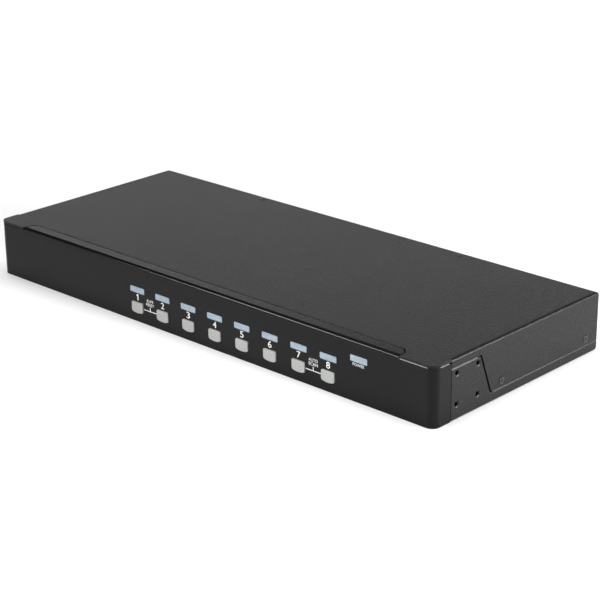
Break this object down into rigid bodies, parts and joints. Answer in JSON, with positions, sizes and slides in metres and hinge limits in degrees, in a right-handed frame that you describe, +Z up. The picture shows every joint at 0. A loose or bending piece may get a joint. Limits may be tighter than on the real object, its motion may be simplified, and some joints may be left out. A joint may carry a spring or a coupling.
{
  "type": "kvm switch",
  "caption": "Rack-mount keyboard, video and mouse switch: flat black steel case, plastic front bezel with numbered push buttons and status lenses, and a row of video sockets at the rear.",
  "frame": {"origin": "centre of the case's underside", "axes": "+X to the right of someone facing the front panel, +Y to the rear, +Z up"},
  "size_m": [0.4426, 0.1887, 0.0443],
  "materials": {
    "case_steel": "black powder coat, fine grain",
    "cover_steel": "black powder coat, fine grain",
    "bezel_plastic": "black, fine texture",
    "lens_plastic": "pale blue-grey, translucent",
    "button_plastic": "light grey, satin",
    "switch_plastic": "black",
    "circuit_board": "green solder mask",
    "led_epoxy": "clear white",
    "bright_screw": "zinc plated",
    "black_screw": "black",
    "ribbon_grey": "grey",
    "connector_black": "black",
    "standoff_brass": "bright",
    "socket_metal": "nickel plated",
    "insulator_blue": "blue",
    "jack_metal": "nickel plated",
    "tongue_white": "white",
    "ps2_plastic": "violet below, green above",
    "chip_plastic": "black epoxy",
    "heatsink_aluminium": "plain",
    "capacitor_sleeve": "dark blue"
  },
  "bodies": {
    "chassis": {"base_tray": "case_steel", "top_cover": "cover_steel", "front_bezel": "bezel_plastic", "port_lens_1": "lens_plastic", "port_lens_2": "lens_plastic", "port_lens_3": "lens_plastic", "port_lens_4": "lens_plastic", "port_lens_5": "lens_plastic", "port_lens_6": "lens_plastic", "port_lens_7": "lens_plastic", "port_lens_8": "lens_plastic", "power_lens": "lens_plastic", "tact_switches": "switch_plastic", "front_board": "circuit_board", "indicator_leds": "led_epoxy", "front_board_screws": "bright_screw", "bezel_screws": "bright_screw", "ribbon_cable": "ribbon_grey", "ribbon_plugs": "connector_black", "main_board": "circuit_board", "board_standoffs": "standoff_brass", "board_screws": "bright_screw", "computer_socket_1": "socket_metal", "computer_socket_2": "socket_metal", "computer_socket_3": "socket_metal", "computer_socket_4": "socket_metal", "computer_socket_5": "socket_metal", "computer_socket_6": "socket_metal", "computer_socket_7": "socket_metal", "computer_socket_8": "socket_metal", "console_video_socket": "socket_metal", "daisy_chain_socket": "socket_metal", "socket_insulators": "insulator_blue", "jack_screws": "jack_metal", "usb_socket_stack": "socket_metal", "usb_tongues": "tongue_white", "ps2_socket_stack": "ps2_plastic", "power_inlet": "connector_black", "cover_side_screws": "black_screw", "cover_top_screws": "black_screw", "controller_chip": "chip_plastic", "video_switch_chips": "chip_plastic", "voltage_regulator": "heatsink_aluminium", "capacitors": "capacitor_sleeve"},
    "button_1": {"button_cap_1": "button_plastic", "switch_plunger_1": "switch_plastic"},
    "button_2": {"button_cap_2": "button_plastic", "switch_plunger_2": "switch_plastic"},
    "button_3": {"button_cap_3": "button_plastic", "switch_plunger_3": "switch_plastic"},
    "button_4": {"button_cap_4": "button_plastic", "switch_plunger_4": "switch_plastic"},
    "button_5": {"button_cap_5": "button_plastic", "switch_plunger_5": "switch_plastic"},
    "button_6": {"button_cap_6": "button_plastic", "switch_plunger_6": "switch_plastic"},
    "button_7": {"button_cap_7": "button_plastic", "switch_plunger_7": "switch_plastic"},
    "button_8": {"button_cap_8": "button_plastic", "switch_plunger_8": "switch_plastic"}
  },
  "joints": [
    {"name": "button_1_press", "type": "slide", "parent": "chassis", "child": "button_1", "axis": [0, 1, 0], "range_m": [0, 0.0005], "stiffness_N_per_m": 1600, "springref_m": -0.00025},
    {"name": "button_2_press", "type": "slide", "parent": "chassis", "child": "button_2", "axis": [0, 1, 0], "range_m": [0, 0.0005], "stiffness_N_per_m": 1600, "springref_m": -0.00025},
    {"name": "button_3_press", "type": "slide", "parent": "chassis", "child": "button_3", "axis": [0, 1, 0], "range_m": [0, 0.0005], "stiffness_N_per_m": 1600, "springref_m": -0.00025},
    {"name": "button_4_press", "type": "slide", "parent": "chassis", "child": "button_4", "axis": [0, 1, 0], "range_m": [0, 0.0005], "stiffness_N_per_m": 1600, "springref_m": -0.00025},
    {"name": "button_5_press", "type": "slide", "parent": "chassis", "child": "button_5", "axis": [0, 1, 0], "range_m": [0, 0.0005], "stiffness_N_per_m": 1600, "springref_m": -0.00025},
    {"name": "button_6_press", "type": "slide", "parent": "chassis", "child": "button_6", "axis": [0, 1, 0], "range_m": [0, 0.0005], "stiffness_N_per_m": 1600, "springref_m": -0.00025},
    {"name": "button_7_press", "type": "slide", "parent": "chassis", "child": "button_7", "axis": [0, 1, 0], "range_m": [0, 0.0005], "stiffness_N_per_m": 1600, "springref_m": -0.00025},
    {"name": "button_8_press", "type": "slide", "parent": "chassis", "child": "button_8", "axis": [0, 1, 0], "range_m": [0, 0.0005], "stiffness_N_per_m": 1600, "springref_m": -0.00025}
  ]
}
